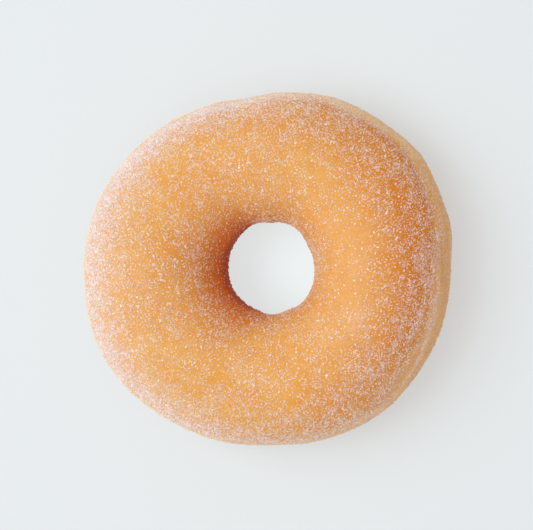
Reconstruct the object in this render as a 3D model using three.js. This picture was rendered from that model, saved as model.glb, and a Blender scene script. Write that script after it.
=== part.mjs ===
// A ring doughnut: one piece of fried yeast dough, lying flat on its underside.
//
// Millimetres, +Z up. The origin is on the surface that the doughnut lies on, under the middle of its outline.
// A bearing is an angle round the ring, from +X towards +Y. A section is the cut across the dough at one bearing.
import * as THREE from "three";

// Driving dimensions. The radii and the height are means round the ring.
const RIM_RADIUS = 42.4; // to the outside of the ring
const HOLE_RADIUS = 10.7; // to the wall of the hole, where it is narrowest
const HEIGHT = 31; // from the surface up to the crown
const WAIST = 14.8; // level at which the ring is widest and its hole narrowest
const REST_WIDTH = 10; // width of the flat band that the dough has settled on
const HOLE_SHIFT = { x: 1.2, y: 0.5 }; // the hole is a little off centre
const SQUARENESS = 2.2; // exponent of the section's superellipse, where 2 is an ellipse

// The dough's unevenness. Each wave has so many lobes round the ring, one of them with its crest at the given bearing.
const RIM_WAVES = [
  { lobes: 2, size: 1.35, crest: 13 },
  { lobes: 3, size: 0.5, crest: 54 },
  { lobes: 4, size: 0.43, crest: -45 },
  { lobes: 8, size: 0.14, crest: -16 },
];
const HOLE_WAVES = [
  { lobes: 2, size: 0.16, crest: -41 },
  { lobes: 3, size: 0.19, crest: -43 },
];
const CROWN_WAVES = [
  { lobes: 1, size: 0.35, crest: 200 },
  { lobes: 3, size: 0.3, crest: 80 },
  { lobes: 5, size: 0.2, crest: 10 },
];

// How finely the surface is cut into flat facets.
const BEARING_STEPS = 84;
const SECTION_STEPS = 30;

const TURN = 2 * Math.PI;

function unevenness(waves, bearing) {
  const height = ({ lobes, size, crest }) => size * Math.cos(lobes * (bearing - THREE.MathUtils.degToRad(crest)));
  return waves.reduce((sum, wave) => sum + height(wave), 0);
}

// A cosine or sine, rounded out towards a square as the superellipse's exponent goes up from 2.
function squared(value) {
  return Math.sign(value) * Math.abs(value) ** (2 / SQUARENESS);
}

// How far the wall of the hole is from the origin, measured along a bearing.
function holeRadius(bearing) {
  const shift = HOLE_SHIFT.x * Math.cos(bearing) + HOLE_SHIFT.y * Math.sin(bearing);
  return HOLE_RADIUS + shift + unevenness(HOLE_WAVES, bearing);
}

// The section's points as [radius, level], from the outer edge of the flat band, over the rim, the crown and the wall
// of the hole, to the band's inner edge. The band itself closes the section.
function section(bearing) {
  const rim = RIM_RADIUS + unevenness(RIM_WAVES, bearing);
  const hole = holeRadius(bearing);
  const middle = (rim + hole) / 2;
  const halfWidth = (rim - hole) / 2;
  const crown = HEIGHT - WAIST + unevenness(CROWN_WAVES, bearing);
  // The underside's curve would end below the surface: the band is where the surface cuts it off.
  const bandShare = REST_WIDTH / 2 / halfWidth;
  const underside = WAIST / (1 - bandShare ** SQUARENESS) ** (1 / SQUARENESS);
  const bandEdge = Math.acos(bandShare ** (SQUARENESS / 2));

  return Array.from({ length: SECTION_STEPS + 1 }, (_, i) => {
    const angle = THREE.MathUtils.lerp(-bandEdge, Math.PI + bandEdge, i / SECTION_STEPS);
    const onBand = i === 0 || i === SECTION_STEPS;
    const side = Math.sin(angle) < 0 ? underside : crown;
    const level = onBand ? 0 : WAIST + side * squared(Math.sin(angle));
    return [middle + halfWidth * squared(Math.cos(angle)), level];
  });
}

function ringGeometry() {
  const sections = Array.from({ length: BEARING_STEPS }, (_, i) => (i / BEARING_STEPS) * TURN).map((bearing) =>
    section(bearing).map(([radius, level]) => [radius * Math.cos(bearing), radius * Math.sin(bearing), level]),
  );
  const perSection = SECTION_STEPS + 1;
  const index = [];
  for (let i = 0; i < BEARING_STEPS; i++) {
    const here = i * perSection;
    const next = ((i + 1) % BEARING_STEPS) * perSection;
    for (let j = 0; j < perSection; j++) {
      const k = (j + 1) % perSection;
      index.push(here + j, next + j, next + k, here + j, next + k, here + k);
    }
  }
  const geometry = new THREE.BufferGeometry();
  geometry.setAttribute("position", new THREE.Float32BufferAttribute(sections.flat(2), 3));
  geometry.setIndex(index);
  geometry.computeVertexNormals();
  return geometry;
}

// The origin goes under the middle of the outline.
function centred(geometry) {
  geometry.computeBoundingBox();
  const middle = geometry.boundingBox.getCenter(new THREE.Vector3());
  return geometry.translate(-middle.x, -middle.y, 0);
}

const sugaredCrust = new THREE.MeshStandardMaterial({ color: 0xdf9c55, roughness: 0.75, metalness: 0 });
const doughnut = new THREE.Mesh(centred(ringGeometry()), sugaredCrust);
doughnut.name = "dough_ring";

const group = new THREE.Group();
group.add(doughnut);

export default group;
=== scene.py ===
import math

import bpy
import numpy as np
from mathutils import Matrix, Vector, noise
from mathutils.bvhtree import BVHTree
from mathutils.kdtree import KDTree


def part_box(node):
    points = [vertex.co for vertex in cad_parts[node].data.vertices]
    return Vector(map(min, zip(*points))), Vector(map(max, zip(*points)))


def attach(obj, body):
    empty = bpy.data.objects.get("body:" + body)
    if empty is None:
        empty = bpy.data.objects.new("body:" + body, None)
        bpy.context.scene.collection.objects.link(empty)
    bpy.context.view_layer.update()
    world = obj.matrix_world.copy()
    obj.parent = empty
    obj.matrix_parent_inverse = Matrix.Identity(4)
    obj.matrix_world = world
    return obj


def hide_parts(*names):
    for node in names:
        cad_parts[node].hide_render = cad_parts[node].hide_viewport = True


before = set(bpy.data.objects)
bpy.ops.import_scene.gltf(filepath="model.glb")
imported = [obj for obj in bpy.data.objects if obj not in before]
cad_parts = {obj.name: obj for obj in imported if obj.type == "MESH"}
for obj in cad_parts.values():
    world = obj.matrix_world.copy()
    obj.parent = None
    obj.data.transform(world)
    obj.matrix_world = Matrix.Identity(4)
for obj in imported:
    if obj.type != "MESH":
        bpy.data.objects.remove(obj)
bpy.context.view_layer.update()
MM = 0.001

RING = "dough_ring"
RING_LOW, RING_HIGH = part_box(RING)
RING_SIZE = RING_HIGH - RING_LOW

# The dough's surface is a grid of places, so many round the hole and so many round the section.
BEARING_STEPS = 560
SLOPE_STEPS = 176
BEARING = np.arange(BEARING_STEPS)[:, None] * 360 / BEARING_STEPS
SLOPE = -90 + np.arange(SLOPE_STEPS)[None, :] * 360 / SLOPE_STEPS


# --------------------------------------------------------------------------------------------------
# Fields: arrays with one value for each place of the grid

NOISE_SHIFT = (7.3, 3.1, 5.7)  # how far apart in the noise two seeds are


def turned(angle, centre):
    """The angle from centre, between -180 and 180."""
    return (angle - centre + 180) % 360 - 180


def around(angle, centre, reach):
    """1 at centre, fading to 0 within a few reaches."""
    return np.exp(-((turned(angle, centre) / reach) ** 2) / 2)


def step(value, low, high):
    """0 below low, 1 above high, and smooth between them."""
    share = np.clip((value - low) / (high - low), 0, 1)
    return share * share * (3 - 2 * share)


def round_ring(spots):
    """What spots round the ring add up to. Each one has a bearing, a reach in degrees and a height."""
    return sum(height * around(BEARING, bearing, reach) for bearing, reach, height in spots)


def patches(spots):
    """What spots on the crust add up to. Each one has a bearing, a slope, its reach both ways and a height."""
    return sum(
        height * around(BEARING, bearing, bearing_reach) * around(SLOPE, slope, slope_reach)
        for bearing, slope, bearing_reach, slope_reach, height in spots
    )


def blurred(field, bearing_blur, slope_blur):
    """A field evened out over so many degrees each way."""
    round_hole = np.fft.fftfreq(BEARING_STEPS, 1 / BEARING_STEPS)[:, None] * math.radians(bearing_blur)
    round_section = np.fft.fftfreq(SLOPE_STEPS, 1 / SLOPE_STEPS)[None, :] * math.radians(slope_blur)
    kept = np.exp(-(round_hole**2 + round_section**2) / 2)
    return np.fft.ifft2(np.fft.fft2(field) * kept).real


def mottle(places, size, seed):
    """Noise between about -1 and 1 at each place, with patches of that size."""
    shift = Vector([seed * share for share in NOISE_SHIFT])
    values = [noise.noise(Vector(place) / size + shift) for place in places.reshape(-1, 3)]
    return np.array(values).reshape(places.shape[:-1])


def ring_mottle(lobes, across, seed):
    """Noise that bends round with the ring. More lobes make it finer, and across is where each slope is in it."""
    angle = np.radians(BEARING)
    bent = np.stack(np.broadcast_arrays(lobes * np.cos(angle), lobes * np.sin(angle), across), axis=-1)
    return mottle(bent, size=1, seed=seed)


# --------------------------------------------------------------------------------------------------
# The ring's form, read from the CAD node

FACET_BLUR = (2.5, 4)  # degrees of bearing and of slope over which the CAD's flat facets are rounded off


def outward():
    """The level direction at each bearing."""
    angle = np.radians(BEARING)
    return np.concatenate([np.cos(angle), np.sin(angle), np.zeros_like(angle)], axis=1)


def slope_direction():
    """The direction from the section's centre at each bearing and slope."""
    angle = np.radians(SLOPE)[..., None]
    return np.cos(angle) * OUTWARD[:, None, :] + np.sin(angle) * UP


OUTWARD = outward()
UP = np.array([0.0, 0.0, 1.0])
SLOPE_DIRECTION = slope_direction()


def cad_tree():
    """The CAD ring's surface, to be asked where a ray meets it."""
    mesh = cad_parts[RING].data
    corners = [vertex.co.copy() for vertex in mesh.vertices]
    return BVHTree.FromPolygons(corners, [tuple(face.vertices) for face in mesh.polygons])


def ray_length(tree, start, direction):
    return tree.ray_cast(Vector(start), Vector(direction))[3]


def section_centres(tree):
    """The middle of the ring's section at each bearing, at half its height."""
    level = (RING_LOW.z + RING_HIGH.z) / 2
    axis = Vector((0, 0, level))
    far = RING_SIZE.length
    middles = []
    for direction in map(Vector, OUTWARD):
        rim = far - ray_length(tree, axis + direction * far, -direction)
        hole = ray_length(tree, axis, direction)
        middles.append((rim + hole) / 2)
    return OUTWARD * np.array(middles)[:, None] + UP * level


def section_reach(tree, centres):
    """How far the surface is from the section's centre, at each place."""
    reach = [
        ray_length(tree, centre, direction)
        for centre, directions in zip(centres, SLOPE_DIRECTION)
        for direction in directions
    ]
    return blurred(np.array(reach).reshape(BEARING_STEPS, SLOPE_STEPS), *FACET_BLUR)


# --------------------------------------------------------------------------------------------------
# The pale belt, which never sank into the frying oil

# Slopes, and degrees of slope.
BELT_TOP = 19
BELT_BOTTOM = -24
BELT_SOFTNESS = 22  # over which its edges fade
BELT_WOBBLE = 3

# Where the belt differs: bearing, reach and how much.
BELT_TOP_RISES = [(-14, 24, 18), (180, 55, 16), (95, 30, 13)]
BELT_TOP_CRISPER = [(46, 20, 0.55), (180, 60, 0.35)]
BELT_FAINTER = [(8, 16, 0.35)]
# The belt is painted tan on the right, as painted shade where it faces away from the key light.
BELT_SHADED_TAN = [(-5, 48, 1)]

# The crease along each edge: how deep it is, and its reach in degrees of slope.
TOP_CREASE = 0.5
TOP_CREASE_DEEPER = [(36, 26, 0.8)]
TOP_CREASE_REACH = 2.2
BOTTOM_CREASE = 0.6
BOTTOM_CREASE_REACH = 2.6


def belt_top(places):
    """The slope of the belt's upper edge."""
    return BELT_TOP + round_ring(BELT_TOP_RISES) + BELT_WOBBLE * mottle(places, size=7 * MM, seed=3)


def belt_bottom(places):
    """The slope of the belt's lower edge."""
    return BELT_BOTTOM + BELT_WOBBLE * mottle(places, size=9 * MM, seed=4)


def belt_field(places):
    """1 on the pale belt, 0 on the fried crust."""
    slope = turned(SLOPE, 0)
    top = belt_top(places)
    bottom = belt_bottom(places)
    softness = BELT_SOFTNESS * (1 - round_ring(BELT_TOP_CRISPER))
    above = step(slope, top - softness, top + softness / 3)
    below = step(-slope, -bottom - BELT_SOFTNESS / 3, -bottom + BELT_SOFTNESS / 6)
    return (1 - above) * (1 - below) * (1 - round_ring(BELT_FAINTER))


def cream_field():
    """How pale the belt is. It is painted tan only on the right, as painted shade where it faces away from the
    key light.
    """
    return 1 - round_ring(BELT_SHADED_TAN)


def crease_field(places):
    """How deep the creases along the belt's edges are."""
    upper_depth = TOP_CREASE + round_ring(TOP_CREASE_DEEPER)
    upper = upper_depth * around(SLOPE, belt_top(places), TOP_CREASE_REACH)
    lower = BOTTOM_CREASE * around(SLOPE, belt_bottom(places), BOTTOM_CREASE_REACH)
    return upper + lower


# --------------------------------------------------------------------------------------------------
# The dough

# Soft bumps and dents: bearing, slope, how far they reach each way in degrees, and height in millimetres.
SWELLINGS = [
    (13, -5, 5, 34, 0.75),
    (36, 0, 5, 34, 0.4),
    (68, 5, 6, 34, 0.5),
    (86, 15, 6, 38, 0.4),
    (97, 15, 4, 38, -0.35),
    (104, 10, 4, 30, 0.2),
    (52, 180, 9, 30, -0.35),
    (85, 180, 8, 30, 0.4),
    (110, 180, 8, 30, -0.25),
    (274, 180, 9, 30, -0.4),
    (303, 180, 9, 30, 0.3),
    (150, 120, 9, 22, -0.25),
    (118, 100, 7, 26, 0.25),
    (205, 60, 16, 20, 0.2),
    (300, 70, 14, 24, -0.2),
]

# The crust's lumps, from the biggest to the finest skin: height and size in millimetres, and seed.
LUMPS = [(0.3, 13, 1), (0.1, 5, 2), (0.05, 2.6, 7), (0.03, 1.4, 6)]

# Puckers round the hole and finer wrinkles on the belt. Heights and depths are in millimetres.
PUCKER_HEIGHT = 0.16
PUCKER_SLOPE = 165
PUCKER_REACH = 38
PUCKER_LOBES = 8
PUCKER_ROWS = 0.9  # to the radian of slope
WRINKLE_HEIGHT = 0.05
CREASE_DEPTH = 0.2
BELT_DEPTH = 0.08

SUGAR_UNDER_DOUGH = 0.15 * MM  # how proud of the surface the lowest grains hold the dough
MAP_MARGIN = 0.01  # share of the map left free round each strip


def relief(places):
    """How far the dough's surface stands out from the plain ring, in metres."""
    rows = np.radians(SLOPE) * PUCKER_ROWS
    near_hole = around(SLOPE, PUCKER_SLOPE, PUCKER_REACH)
    puckers = PUCKER_HEIGHT * ring_mottle(PUCKER_LOBES, rows, seed=5) * near_hole
    lumps = sum(height * mottle(places, size=size * MM, seed=seed) for height, size, seed in LUMPS)
    wrinkles = WRINKLE_HEIGHT * belt_field(places) * ring_mottle(2 * PUCKER_LOBES, 2 * rows, seed=9)
    sunk = CREASE_DEPTH * crease_field(places) + BELT_DEPTH * belt_field(places)
    return (patches(SWELLINGS) + puckers + lumps + wrinkles - sunk) * MM


def dough_places():
    """The places of the dough's surface."""
    tree = cad_tree()
    centres = section_centres(tree)
    reach = section_reach(tree, centres)
    plain = centres[:, None, :] + SLOPE_DIRECTION * reach[..., None]
    places = centres[:, None, :] + SLOPE_DIRECTION * (reach + relief(plain))[..., None]
    places[..., 2] = np.maximum(places[..., 2], RING_LOW.z + SUGAR_UNDER_DOUGH)
    return places


def grid_faces():
    """The four corners of each face, as numbers of places, anticlockwise as seen from outside."""
    here = np.arange(BEARING_STEPS * SLOPE_STEPS).reshape(BEARING_STEPS, SLOPE_STEPS)
    on = np.roll(here, -1, axis=0)
    up = np.roll(here, -1, axis=1)
    both = np.roll(on, -1, axis=1)
    return np.stack([here, on, both, up], axis=-1).reshape(-1, 4)


def new_mesh(name, places, faces, uv):
    mesh = bpy.data.meshes.new(name)
    mesh.from_pydata(places.reshape(-1, 3).tolist(), [], faces.tolist())
    layer = mesh.uv_layers.new(name="OFBake")
    layer.uv.foreach_set("vector", uv.astype(np.float32).ravel())
    return mesh


def add_attribute(mesh, name, field):
    attribute = mesh.attributes.new(name, "FLOAT", "POINT")
    attribute.data.foreach_set("value", field.astype(np.float32).ravel())


def new_piece(name, mesh, material):
    piece = bpy.data.objects.new(name, mesh)
    bpy.context.scene.collection.objects.link(piece)
    mesh.materials.append(material)
    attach(piece, "root")
    return piece


def dough_uv():
    """The ring laid out flat as two strips, each half of the way round the hole."""
    steps = np.arange(BEARING_STEPS)[:, None, None]
    corner_steps = steps + np.array([0, 1, 1, 0])
    rows = np.arange(SLOPE_STEPS)[None, :, None] + np.array([0, 0, 1, 1])
    strip = steps * 2 // BEARING_STEPS
    along = corner_steps * 2 / BEARING_STEPS - strip
    across = rows / SLOPE_STEPS
    along, across, strip = np.broadcast_arrays(along, across, strip)
    inside = 1 - 2 * MAP_MARGIN
    return np.stack([MAP_MARGIN + inside * along, (strip + MAP_MARGIN + inside * across) / 2], axis=-1)


# --------------------------------------------------------------------------------------------------
# How the crust is coloured

# The left side of the hole, which faces away from the key light, is painted darker as painted shade and took less
# sugar: its middle, and degrees from there.
FAR_SIDE = 183
FAR_SIDE_FULL = 62
FAR_SIDE_END = 105

# Browner crust on the right shoulder, partly browning from the frying and partly painted shade on the side that
# faces away from the key light: bearing, slope, reach both ways and how brown.
BROWN_AND_SHADE_SHOULDER = [(4, 50, 45, 24, 0.95)]
# Browner crust under the belt, all the way round: slope, reach and how brown.
BROWN_BELOW = [(-52, 18, 0.85), (-90, 30, 0.55)]
# Painted shade along the crease just over the belt, as a brown line: bearing, reach and how brown, and its slope
# above the belt and reach.
CREASE_SHADE_LINE = [(42, 20, 0.5)]
CREASE_SHADE_RISE = 4
CREASE_SHADE_REACH = 4

# Painted shade in the hole, as deeper colour, on its far side, which faces away from the key light, and all the
# way round: slope, reach and how deep.
HOLE_SHADE_FAR_SIDE = (191, 37, 0.8)
HOLE_SHADE_ALL_ROUND = (205, 36, 0.2)


def far_side():
    """1 on the left side of the hole, and 0 on the other side."""
    return 1 - step(abs(turned(BEARING, FAR_SIDE)), FAR_SIDE_FULL, FAR_SIDE_END)


def band(slope, reach, height):
    """A band that goes all the way round the ring."""
    return height * around(SLOPE, slope, reach)


def brown_and_shade_field(places):
    """How much browner than the crown the crust is, with painted shade on the right shoulder and in the crease
    over the belt.
    """
    below = sum(band(*brown) for brown in BROWN_BELOW)
    # Painted shade in the crease over the belt.
    crease_shade = round_ring(CREASE_SHADE_LINE) * around(SLOPE, belt_top(places) + CREASE_SHADE_RISE, CREASE_SHADE_REACH)
    return np.clip(patches(BROWN_AND_SHADE_SHOULDER) + below + crease_shade, 0, 1)


def hole_shade_field():
    """How much painted shade the crust has in the hole."""
    return np.clip(far_side() * band(*HOLE_SHADE_FAR_SIDE) + band(*HOLE_SHADE_ALL_ROUND), 0, 1)


# --------------------------------------------------------------------------------------------------
# Where the sugar lies

# Where grains have gathered: bearing, slope, reach both ways and how much they have.
SUGAR_HEAPS = [
    (143, 129, 4, 4, 0.9),
    (150, 138, 4, 4, 0.8),
    (170, 146, 5, 5, 1.3),
    (186, 147, 5, 5, 1.6),
    (197, 145, 4, 5, 1.2),
    (207, 153, 5, 5, 1.6),
    (221, 152, 5, 5, 1.2),
    (245, 122, 4, 5, 0.9),
    (72, 71, 3, 5, 2.6),
    (68, 62, 3, 4, 1.6),
    (59, 45, 3, 4, 1.8),
    (30, 74, 3, 4, 0.6),
    (117, 89, 3, 4, 0.6),
    (136, 80, 3, 4, 0.6),
]

# How much more sugar there is than on an ordinary stretch of crust, or how much less, as shares of it.
MORE_ON_SHOULDER = (42, 16, 0.4)  # slope, reach and share
MORE_IN_HAZE = 0.8
MORE_ON_HEAPS = 0.35
LESS_ON_SMOOTH_PATCH = 0.7
LESS_IN_HOLE = (188, 25, 0.85)
LESS_UNDERNEATH = (270, 30, 0.45)
LESS_ON_BELT = 0.35
LEAST_SUGAR = 0.05

# Drifts of grains: how strong they are, their size in millimetres, and seed.
DRIFTS = [(0.5, 5, 21), (1.0, 1.9, 22)]
DRIFTS_LOST_IN_HAZE = 0.5

# Grains on the left, on the way down into the hole, are bigger and whiter: bearing, slope, reaches, share.
COARSE_GRAINS = [(190, 143, 45, 18, 0.08)]

# The crown on the right of the hole is smoother and barer than the rest: bearing, slope, reaches, height.
SMOOTH_PATCH = [(4, 108, 46, 20, 1)]

# The haze on the rim, partly fine sugar and partly painted light on the lit side, which starts higher up on the
# left.
HAZE_START = 60
HAZE_START_LEAN = 29
HAZE_DEPTH = 55  # degrees of slope over which it thickens down from its start
HAZE_STRENGTH = 0.68
HAZE_CHANGES = [(4, 40, -0.6), (90, 20, 0.06), (180, 55, 0.16), (98, 30, 0.4), (275, 35, 0.05)]
HAZE_EDGE = 3  # slope of its lower edge, where most of it ends
HAZE_EDGE_RISES = [(180, 60, 14)]
HAZE_EDGE_SOFTNESS = 22
HAZE_BELOW_EDGE = 0.15
HAZE_END = (-70, -35)  # slopes over which the last of it fades

# Whitish streaks along the belt on the right.
STREAK_BEARING = -22
STREAK_BEARING_REACH = 27
STREAK_DROP = 9  # degrees of slope under the belt's upper edge
STREAK_DROP_REACH = 12
STREAK_LOBES = 3
STREAK_HEIGHT = 6  # degrees of slope
STREAK_MEAN = 0.33
STREAK_CONTRAST = 1.2
STREAK_MOST = 0.75

# Patches of crown and rim painted paler, partly as painted sheen of the crust's soft gloss and partly by fine
# sugar: bearing, slope, reach both ways and how pale.
SHEEN_AND_SUGAR_PATCHES = [
    (2, 101, 4, 4, 0.3),
    (-24, 94, 6, 8, 0.3),
    (-40, 104, 5, 6, 0.15),
    (189, 82, 14, 11, 0.17),
    (92, 47, 12, 12, 0.15),
    (-38, 66, 9, 9, 0.15),
]
PALE_ON_SMOOTH_PATCH = 0.15

CRYSTAL_CHANCE = 0.4  # of a clear crystal in a cell of an ordinary stretch of crust
FEWER_CRYSTALS_IN_HOLE = 0.7


def haze_and_light_field():
    """How thick the haze lies on the rim: fine sugar, and painted light where the key light falls."""
    slope = turned(SLOPE, 0)
    start = HAZE_START - HAZE_START_LEAN * np.cos(np.radians(BEARING))
    strength = HAZE_STRENGTH + round_ring(HAZE_CHANGES)
    thickening = 1 - step(slope, start - HAZE_DEPTH, start)
    edge = HAZE_EDGE + round_ring(HAZE_EDGE_RISES)
    over_edge = HAZE_BELOW_EDGE + (1 - HAZE_BELOW_EDGE) * step(slope, edge, edge + HAZE_EDGE_SOFTNESS)
    return strength * thickening * over_edge * step(slope, *HAZE_END)


def streak_field(places):
    """How thick the fine sugar lies in the streaks along the belt."""
    streaks = ring_mottle(STREAK_LOBES, SLOPE / STREAK_HEIGHT, seed=8)
    thick = np.clip(STREAK_MEAN + STREAK_CONTRAST * streaks, 0, STREAK_MOST)
    on_belt = around(SLOPE, belt_top(places) - STREAK_DROP, STREAK_DROP_REACH)
    return thick * on_belt * around(BEARING, STREAK_BEARING, STREAK_BEARING_REACH)


def dust_and_sheen_field(places):
    """How thick the fine sugar lies, all over, with painted light on the lit rim and painted sheen on the crown.
    """
    crown = PALE_ON_SMOOTH_PATCH * patches(SMOOTH_PATCH) + patches(SHEEN_AND_SUGAR_PATCHES)
    return np.clip(haze_and_light_field() + crown + streak_field(places), 0, 1)


def sugar_field(places):
    """How thickly the grains lie, where 1 is an ordinary stretch of crust."""
    haze_and_light = haze_and_light_field()
    more = band(*MORE_ON_SHOULDER) + MORE_IN_HAZE * haze_and_light + MORE_ON_HEAPS * patches(SUGAR_HEAPS)
    less = LESS_ON_SMOOTH_PATCH * patches(SMOOTH_PATCH) + far_side() * band(*LESS_IN_HOLE)
    drifts = sum(strength * mottle(places, size=size * MM, seed=seed) for strength, size, seed in DRIFTS)
    thickness = (1 + more - less) * (1 + drifts * (1 - DRIFTS_LOST_IN_HAZE * haze_and_light))
    thickness = thickness * (1 - band(*LESS_UNDERNEATH))
    return np.clip(thickness, LEAST_SUGAR, None) * (1 - LESS_ON_BELT * belt_field(places))


def crystal_field(thickness):
    """The chance of a clear crystal in a cell of the crust."""
    return CRYSTAL_CHANCE * thickness * (1 - FEWER_CRYSTALS_IN_HOLE * hole_shade_field())


# --------------------------------------------------------------------------------------------------
# Materials

# Colours, in the 0 to 255 of a screen. A pair is the two that a patchy colour runs between.
GOLDEN = [(231, 168, 86), (233, 177, 97)]
BLOTCHES = (222, 146, 58)
# Browning, and painted shade on the right shoulder and in the crease over the belt.
BROWN_AND_SHADE = (217, 127, 20)
# Painted shade in the hole, down to its darkest on the hole's far side.
HOLE_SHADE_ORANGE = (214, 94, 4)
DARKEST_HOLE_SHADE = (160, 49, 2)
# The belt where it is painted tan, as painted shade on the right.
SHADED_TAN = [(232, 167, 94), (237, 179, 112)]
CREAM = [(248, 206, 152), (252, 219, 172)]
# Fine sugar, and the colour of the painted light and sheen.
FINE_SUGAR_AND_SHEEN = (248, 218, 209)
WHITE_SUGAR = (255, 244, 247)


def linear(colour):
    """A colour given in the 0 to 255 of a screen, as Blender takes it."""
    shares = [value / 255 for value in colour]
    return [s / 12.92 if s <= 0.04045 else ((s + 0.055) / 1.055) ** 2.4 for s in shares] + [1.0]


def new_material(name):
    material = bpy.data.materials.new(name)
    material.use_nodes = True
    material.node_tree.nodes.clear()
    output = material.node_tree.nodes.new("ShaderNodeOutputMaterial")
    shader = material.node_tree.nodes.new("ShaderNodeBsdfPrincipled")
    material.node_tree.links.new(shader.outputs["BSDF"], output.inputs["Surface"])
    return material, shader


class Nodes:
    """Short ways to add nodes to one material."""

    def __init__(self, material):
        self.tree = material.node_tree

    def add(self, kind, **settings):
        node = self.tree.nodes.new(kind)
        for name, value in settings.items():
            setattr(node, name, value)
        return node

    def plug(self, source, socket):
        """Gives a socket its source, which is either another node's output or a plain value."""
        if isinstance(source, bpy.types.NodeSocket):
            self.tree.links.new(source, socket)
        else:
            socket.default_value = source

    def place(self):
        return self.add("ShaderNodeTexCoord").outputs["Object"]

    def attribute(self, name):
        return self.add("ShaderNodeAttribute", attribute_name=name).outputs["Fac"]

    def speckle(self, size, detail=2.0):
        """Noise from 0 to 1 with patches of that size."""
        node = self.add("ShaderNodeTexNoise")
        self.plug(self.place(), node.inputs["Vector"])
        self.plug(1 / size, node.inputs["Scale"])
        self.plug(detail, node.inputs["Detail"])
        return node.outputs["Fac"]

    def cells(self, size):
        """How far the nearest cell's middle is, in cells, and a random number from 0 to 1 for that cell."""
        node = self.add("ShaderNodeTexVoronoi")
        self.plug(self.place(), node.inputs["Vector"])
        self.plug(1 / size, node.inputs["Scale"])
        return node.outputs["Distance"], self.red(node.outputs["Color"])

    def red(self, colour):
        node = self.add("ShaderNodeSeparateColor")
        self.plug(colour, node.inputs["Color"])
        return node.outputs["Red"]

    def spread(self, value, low, high, to_low=0.0, to_high=1.0):
        """A value that runs from low to high, made to run from to_low to to_high and no further."""
        node = self.add("ShaderNodeMapRange")
        sources = {"Value": value, "From Min": low, "From Max": high, "To Min": to_low, "To Max": to_high}
        for name, source in sources.items():
            self.plug(source, node.inputs[name])
        return node.outputs["Result"]

    def maths(self, operation, first, second):
        node = self.add("ShaderNodeMath", operation=operation)
        self.plug(first, node.inputs[0])
        self.plug(second, node.inputs[1])
        return node.outputs[0]

    def mix(self, share, first, second):
        """A colour that goes from the first to the second as the share goes from 0 to 1."""
        node = self.add("ShaderNodeMix", data_type="RGBA")
        sockets = [s for s in node.inputs if s.enabled]
        for socket, source in zip(sockets, (share, first, second)):
            self.plug(source, socket)
        return next(s for s in node.outputs if s.enabled)


def crust_colour(nodes):
    """The colour of the dough, where the piece's attributes say how brown the frying made it, where painted shade
    lies on the right shoulder, over the belt and in the hole, and where the belt is.
    """
    patchy = nodes.spread(nodes.speckle(size=9 * MM), low=0.35, high=0.65)
    golden = nodes.mix(patchy, *map(linear, GOLDEN))
    blotches = nodes.spread(nodes.speckle(size=2.2 * MM, detail=3), low=0.42, high=0.66, to_high=0.35)
    golden = nodes.mix(blotches, golden, linear(BLOTCHES))
    # Browning, with painted shade on the right shoulder and in the crease over the belt.
    fried_and_shaded = nodes.mix(nodes.attribute("brown"), golden, linear(BROWN_AND_SHADE))
    # Painted shade in the hole, deepening to its darkest on the far side.
    deep = nodes.mix(nodes.attribute("hole"), fried_and_shaded, linear(HOLE_SHADE_ORANGE))
    deepest = nodes.mix(nodes.spread(nodes.attribute("hole"), low=0.75, high=1.05), deep, linear(DARKEST_HOLE_SHADE))
    clouds = nodes.spread(nodes.speckle(size=4 * MM, detail=3), low=0.38, high=0.62)
    tan = nodes.mix(clouds, *map(linear, SHADED_TAN))
    cream = nodes.mix(clouds, *map(linear, CREAM))
    pale = nodes.mix(nodes.attribute("cream"), tan, cream)
    return nodes.mix(nodes.attribute("belt"), deepest, pale)


def crust_material():
    """Fried dough with fine sugar on it, painted paler on the lit rim and in painted sheen patches, and clear
    crystals that show as round spots, paler than the crust.
    """
    material, shader = new_material("sugared_crust")
    nodes = Nodes(material)
    distance, chance = nodes.cells(size=0.4 * MM)
    dots = nodes.spread(distance, low=0.22, high=0.5, to_low=1.0, to_high=0.0)
    has_crystal = nodes.maths("LESS_THAN", chance, nodes.attribute("crystals"))
    spots = nodes.maths("MULTIPLY", dots, has_crystal)
    powder = nodes.spread(nodes.speckle(size=0.5 * MM, detail=4), low=0.4, high=0.7, to_low=0.25, to_high=0.95)
    # Fine sugar, with painted light on the lit rim and painted sheen on the crown.
    dust_and_sheen = nodes.maths("MULTIPLY", powder, nodes.attribute("dust_and_sheen"))
    half_spots = nodes.maths("MULTIPLY", spots, 0.5)
    film = nodes.maths("MAXIMUM", half_spots, dust_and_sheen)
    nodes.plug(nodes.mix(film, crust_colour(nodes), linear(FINE_SUGAR_AND_SHEEN)), shader.inputs["Base Color"])
    roughness = nodes.spread(nodes.speckle(size=1.2 * MM), low=0.3, high=0.7, to_low=0.5, to_high=0.75)
    nodes.plug(roughness, shader.inputs["Roughness"])
    shader.inputs["Specular IOR Level"].default_value = 0.05
    shader.inputs["Subsurface Weight"].default_value = 0.25
    shader.inputs["Subsurface Radius"].default_value = (1.0, 0.4, 0.15)
    shader.inputs["Subsurface Scale"].default_value = 2 * MM
    bump = nodes.add("ShaderNodeBump")
    pores = nodes.speckle(size=0.6 * MM, detail=3)
    nodes.plug(nodes.maths("ADD", pores, spots), bump.inputs["Height"])
    bump.inputs["Strength"].default_value = 0.3
    bump.inputs["Distance"].default_value = 0.12 * MM
    nodes.plug(bump.outputs["Normal"], shader.inputs["Normal"])
    return material


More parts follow.
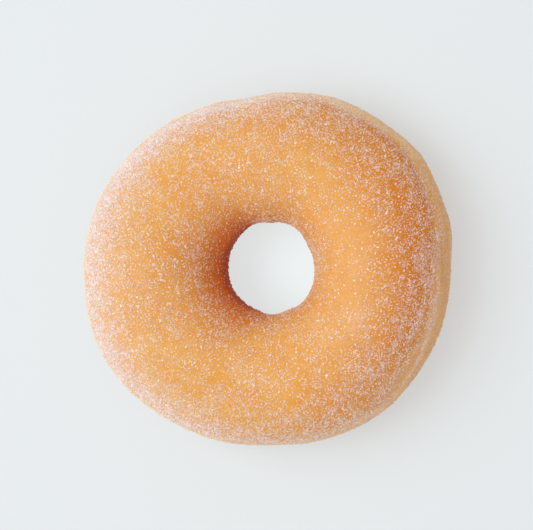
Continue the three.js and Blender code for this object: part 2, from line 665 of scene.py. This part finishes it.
def sugar_material():
    """Crystals from clear ones, which show the crust's colour, to white ones."""
    material, shader = new_material("sugar")
    nodes = Nodes(material)
    colour = nodes.mix(nodes.attribute("white"), crust_colour(nodes), linear(WHITE_SUGAR))
    nodes.plug(colour, shader.inputs["Base Color"])
    shader.inputs["Roughness"].default_value = 0.2
    shader.inputs["IOR"].default_value = 1.54
    shader.inputs["Subsurface Weight"].default_value = 0.3
    shader.inputs["Subsurface Radius"].default_value = (1.0, 0.7, 0.5)
    shader.inputs["Subsurface Scale"].default_value = 0.5 * MM
    return material


# --------------------------------------------------------------------------------------------------
# Sugar grains

SEED = 11
GRAIN_DENSITY = 3.2  # to the square millimetre, on an ordinary stretch of crust
GRAIN_GAP = 0.395 * MM  # between the middles of neighbours there
GRAINS_TRIED = 2.0  # how many are thrown for each that is wanted, because some find no room

GRAIN_SIZE = 0.29 * MM
GRAIN_SPREAD = 0.22  # how much the sizes vary
GRAIN_SPREAD_ENDS = (-2, 1.5)  # the smallest and the biggest, in spreads from the usual size
GRAIN_SHAPE = [(1.0, 1.7), (0.7, 1.0), (0.45, 0.7)]  # least and most length, width and height, in sizes
GRAIN_CHIP = 0.13  # how far each corner may be from a block's, as a share of its sides
GRAIN_TILT = 0.28  # how unevenly the grains lie
GRAIN_SINK = 0.45  # share of its height that a grain is pressed into the crust

# How white the grains are, where 0 is clear.
LEAST_WHITE = 0.235
WHITE_RANGE = 0.44
WHITE_BIAS = 1.4  # above 1, more of the grains are clear
WHITER_IF_COARSE = 0.5
# Grains are also whiter under the painted light and sheen.
WHITER_IN_DUST_AND_SHEEN = 0.55
# Grains in the hole are made clearer, so that they take on the crust's painted shade there.
CLEARER_IN_HOLE_SHADE = 0.6
CLEARER_ON_TAN_BELT = 0.63
CLEARER_ON_CREAM_BELT = 0.33
MOST_WHITE = 0.95

CUBE = np.array([[x, y, z] for z in (-0.5, 0.5) for y in (-0.5, 0.5) for x in (-0.5, 0.5)])
CUBE_FACES = np.array([[0, 2, 3, 1], [4, 5, 7, 6], [0, 1, 5, 4], [2, 6, 7, 3], [0, 4, 6, 2], [1, 3, 7, 5]])
FACE_MAP = np.array([[0.25, 0.25], [0.75, 0.25], [0.75, 0.75], [0.25, 0.75]])  # in the grain's square

# The coat of sugar is cut into stretches, to keep each piece within the exporter's limit: name and slopes.
STRETCHES = [
    ("sugar_on_crown", 70, 125),
    ("sugar_on_shoulder", 35, 70),
    ("sugar_on_rim", 0, 35),
    ("sugar_below_rim", -45, 0),
    ("sugar_in_hole", 125, 225),
    ("sugar_underneath", 225, 315),
]


def unit(vectors):
    return vectors / np.linalg.norm(vectors, axis=-1, keepdims=True)


def with_room(at, gap):
    """Which grains stay when each one that lies within its gap of an earlier one is left out."""
    tree = KDTree(len(at))
    for number, place in enumerate(at):
        tree.insert(place, number)
    tree.balance()
    stays = np.zeros(len(at), dtype=bool)
    for number, (place, reach) in enumerate(zip(at, gap)):
        stays[number] = not any(stays[other] for _, other, _ in tree.find_range(place, reach))
    return stays


def scatter(places, faces, thickness, rng):
    """Places for grains, the crust's direction at each of them, and the face that it is on."""
    corners = places.reshape(-1, 3)[faces]
    crossed = np.cross(corners[:, 2] - corners[:, 0], corners[:, 3] - corners[:, 1]) / 2
    area = np.linalg.norm(crossed, axis=1)
    thick = thickness.ravel()[faces].mean(axis=1)
    wanted = area / MM**2 * GRAIN_DENSITY * thick
    count = round(GRAINS_TRIED * wanted.sum())
    face = rng.choice(len(faces), size=count, p=wanted / wanted.sum())
    across, along = rng.random((2, count, 1))
    first, second, third, fourth = corners[face].swapaxes(0, 1)
    near = first * (1 - across) + second * across
    far = fourth * (1 - across) + third * across
    at = near * (1 - along) + far * along
    stays = with_room(at, GRAIN_GAP / np.sqrt(thick[face]))
    return at[stays], unit(crossed[face[stays]]), face[stays]


def grain_corners(at, normal, coarse, rng):
    """The eight corners of each grain, a rough block lying nearly flat on the crust."""
    count = len(at)
    spread = GRAIN_SPREAD * np.clip(rng.standard_normal(count), *GRAIN_SPREAD_ENDS)
    size = GRAIN_SIZE * (1 + coarse) * np.exp(spread)
    shape = np.stack([rng.uniform(least, most, count) for least, most in GRAIN_SHAPE], axis=1)
    extent = size[:, None] * shape
    corner = (CUBE + rng.uniform(-GRAIN_CHIP, GRAIN_CHIP, (count, *CUBE.shape))) * extent[:, None, :]
    up = unit(normal + GRAIN_TILT * rng.standard_normal((count, 3)))
    long = unit(np.cross(up, rng.standard_normal((count, 3))))
    wide = np.cross(up, long)
    turn = np.stack([long, wide, up], axis=1)
    lift = (0.5 - GRAIN_SINK) * extent[:, 2:]
    corners = at[:, None, :] + (normal * lift)[:, None, :] + corner @ turn
    # No grain goes under the surface that the doughnut lies on.
    under = np.minimum(corners[..., 2].min(axis=1) - RING_LOW.z, 0)
    corners[..., 2] -= under[:, None]
    return corners


def grain_whiteness(looks, coarse, rng):
    """How white each grain is. Looks are the fields' values where it lies."""
    whiteness = LEAST_WHITE + WHITE_RANGE * rng.random(len(coarse)) ** WHITE_BIAS + WHITER_IF_COARSE * coarse
    clearer = CLEARER_ON_TAN_BELT + (CLEARER_ON_CREAM_BELT - CLEARER_ON_TAN_BELT) * looks["cream"]
    whiteness = whiteness * (1 - looks["belt"] * clearer) * (1 - CLEARER_IN_HOLE_SHADE * looks["hole"])
    return np.clip(whiteness + WHITER_IN_DUST_AND_SHEEN * looks["dust_and_sheen"], 0, MOST_WHITE)


def grain_mesh(name, corners, looks):
    """One mesh of many grains. Each grain has one square of the map, shared by its six faces."""
    count = len(corners)
    faces = (CUBE_FACES[None] + len(CUBE) * np.arange(count)[:, None, None]).reshape(-1, 4)
    side = math.ceil(math.sqrt(count))
    square = np.stack([np.arange(count) % side, np.arange(count) // side], axis=1)
    uv = ((square[:, None, :] + FACE_MAP) / side)[:, None]
    mesh = new_mesh(name, corners, faces, np.broadcast_to(uv, (count, *CUBE_FACES.shape, 2)))
    for attribute, values in looks.items():
        add_attribute(mesh, attribute, np.repeat(values, len(CUBE)))
    return mesh


def add_sugar(places, faces, thickness, looks):
    rng = np.random.default_rng(SEED)
    at, normal, face = scatter(places, faces, thickness, rng)
    coarse = patches(COARSE_GRAINS).ravel()[face]
    corners = grain_corners(at, normal, coarse, rng)
    grain_looks = {name: field.ravel()[face] for name, field in looks.items()}
    grain_looks["white"] = grain_whiteness(grain_looks, coarse, rng)
    slope = SLOPE[0, face % SLOPE_STEPS]
    material = sugar_material()
    for name, low, high in STRETCHES:
        inside = (slope - low) % 360 < high - low
        looks_inside = {look: values[inside] for look, values in grain_looks.items()}
        mesh = grain_mesh(name, corners[inside], looks_inside)
        new_piece(name, mesh, material)


def add_doughnut():
    places = dough_places()
    faces = grid_faces()
    thickness = sugar_field(places)
    looks = {
        "belt": belt_field(places),
        # Browning, with painted shade on the right shoulder and in the crease over the belt.
        "brown": brown_and_shade_field(places),
        # The painted shade in the hole.
        "hole": hole_shade_field(),
        "cream": np.broadcast_to(cream_field(), thickness.shape),
        # Fine sugar, with painted light on the lit rim and painted sheen on the crown.
        "dust_and_sheen": dust_and_sheen_field(places),
        "crystals": crystal_field(thickness),
    }
    mesh = new_mesh("dough", places, faces, dough_uv())
    mesh.shade_smooth()
    for name, field in looks.items():
        add_attribute(mesh, name, field)
    dough = new_piece("dough", mesh, crust_material())
    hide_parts(RING)
    add_sugar(places, faces, thickness, looks)


# --------------------------------------------------------------------------------------------------
# The stage

CAMERA_TILT = 13  # degrees from straight down, towards +X
CAMERA_DISTANCE = 0.4
PICTURE_WIDTH = 0.124  # metres across, at the level that the camera looks at
AIM = Vector((0.45 * MM, 1.14 * MM, 14.8 * MM))
NEAREST_SEEN = 0.01

# The floor is flat out to its radius, and from there it bends up as a bowl does.
FLOOR_RADIUS = 0.9
BEND_RADIUS = 0.6
BEND_ANGLE = 75
FLOOR_SECTORS = 96
BEND_STEPS = 16
FLOOR_COLOUR = (150, 160, 168)
FLOOR_ROUGHNESS = 0.6

# The floor's glow, which is stronger and cooler on the spot that is seen through the hole: a painted pool of
# light where the dough's shadow falls.
GLOW_COLOUR = (250, 251, 250)
GLOW_STRENGTH = 0.46
SPOT_COLOUR = (236, 250, 252)
SPOT_STRENGTH = 0.67
SPOT_FULL = 14 * MM  # radius out to which the spot is at its strongest
SPOT_END = 22 * MM

# Square soft lights: name, bearing and elevation, distance and side in metres, power in watts, and colour.
LIGHTS = [
    ("key", 169, 61, 1.0, 0.7, 4.42, (1.0, 0.985, 0.96)),
    ("ceiling", 248, 85, 1.0, 0.8, 2.76, (1.0, 0.97, 0.93)),
]
DAYLIGHT_COLOUR = (1.0, 0.94, 0.87, 1.0)
DAYLIGHT_STRENGTH = 0.49


def add_camera():
    data = bpy.data.cameras.new("camera")
    camera = bpy.data.objects.new("camera", data)
    bpy.context.scene.collection.objects.link(camera)
    tilt = math.radians(CAMERA_TILT)
    camera.location = AIM + CAMERA_DISTANCE * Vector((math.sin(tilt), 0, math.cos(tilt)))
    camera.rotation_euler = (0, tilt, 0)
    data.lens = data.sensor_width * CAMERA_DISTANCE / PICTURE_WIDTH
    data.clip_start = NEAREST_SEEN
    bpy.context.scene.camera = camera


def floor_material():
    material, shader = new_material("floor")
    shader.inputs["Base Color"].default_value = linear(FLOOR_COLOUR)
    shader.inputs["Roughness"].default_value = FLOOR_ROUGHNESS
    nodes = Nodes(material)
    distance = nodes.add("ShaderNodeVectorMath", operation="LENGTH")
    nodes.plug(nodes.place(), distance.inputs[0])
    spot = nodes.spread(distance.outputs["Value"], low=SPOT_END, high=SPOT_FULL)
    nodes.plug(nodes.mix(spot, linear(GLOW_COLOUR), linear(SPOT_COLOUR)), shader.inputs["Emission Color"])
    strength = nodes.spread(spot, low=0.0, high=1.0, to_low=GLOW_STRENGTH, to_high=SPOT_STRENGTH)
    nodes.plug(strength, shader.inputs["Emission Strength"])
    return material


def add_floor():
    """A pale floor that curves up into a wall all round, far away, and glows a little like a light table."""
    bend = np.radians(np.linspace(0, BEND_ANGLE, BEND_STEPS))
    radius = np.concatenate([[0.0], FLOOR_RADIUS + BEND_RADIUS * np.sin(bend)])
    level = np.concatenate([[0.0], BEND_RADIUS * (1 - np.cos(bend))])
    angle = np.arange(FLOOR_SECTORS)[:, None] * 2 * np.pi / FLOOR_SECTORS
    places = np.stack(np.broadcast_arrays(radius * np.cos(angle), radius * np.sin(angle), level), axis=-1)
    here = np.arange(FLOOR_SECTORS * len(radius)).reshape(FLOOR_SECTORS, len(radius))
    on = np.roll(here, -1, axis=0)
    faces = np.stack([here[:, :-1], here[:, 1:], on[:, 1:], on[:, :-1]], axis=-1).reshape(-1, 4)
    mesh = bpy.data.meshes.new("floor")
    mesh.from_pydata(places.reshape(-1, 3).tolist(), [], faces.tolist())
    mesh.shade_smooth()
    mesh.materials.append(floor_material())
    floor = bpy.data.objects.new("floor", mesh)
    bpy.context.scene.collection.objects.link(floor)


def add_light(name, bearing, elevation, distance, side, power, colour):
    """A light that faces what the camera looks at."""
    data = bpy.data.lights.new(name, "AREA")
    data.size = side
    data.energy = power
    data.color = colour
    light = bpy.data.objects.new(name, data)
    bpy.context.scene.collection.objects.link(light)
    level = math.radians(elevation)
    turn = math.radians(bearing)
    towards = Vector((math.cos(turn) * math.cos(level), math.sin(turn) * math.cos(level), math.sin(level)))
    light.location = AIM + distance * towards
    light.rotation_mode = "QUATERNION"
    light.rotation_quaternion = towards.to_track_quat("Z", "Y")


def add_daylight():
    world = bpy.data.worlds.new("daylight")
    bpy.context.scene.world = world
    world.use_nodes = True
    background = world.node_tree.nodes["Background"]
    background.inputs["Color"].default_value = DAYLIGHT_COLOUR
    background.inputs["Strength"].default_value = DAYLIGHT_STRENGTH


add_camera()
add_floor()
for settings in LIGHTS:
    add_light(*settings)
add_daylight()
add_doughnut()
bpy.context.scene.view_settings.view_transform = "Standard"
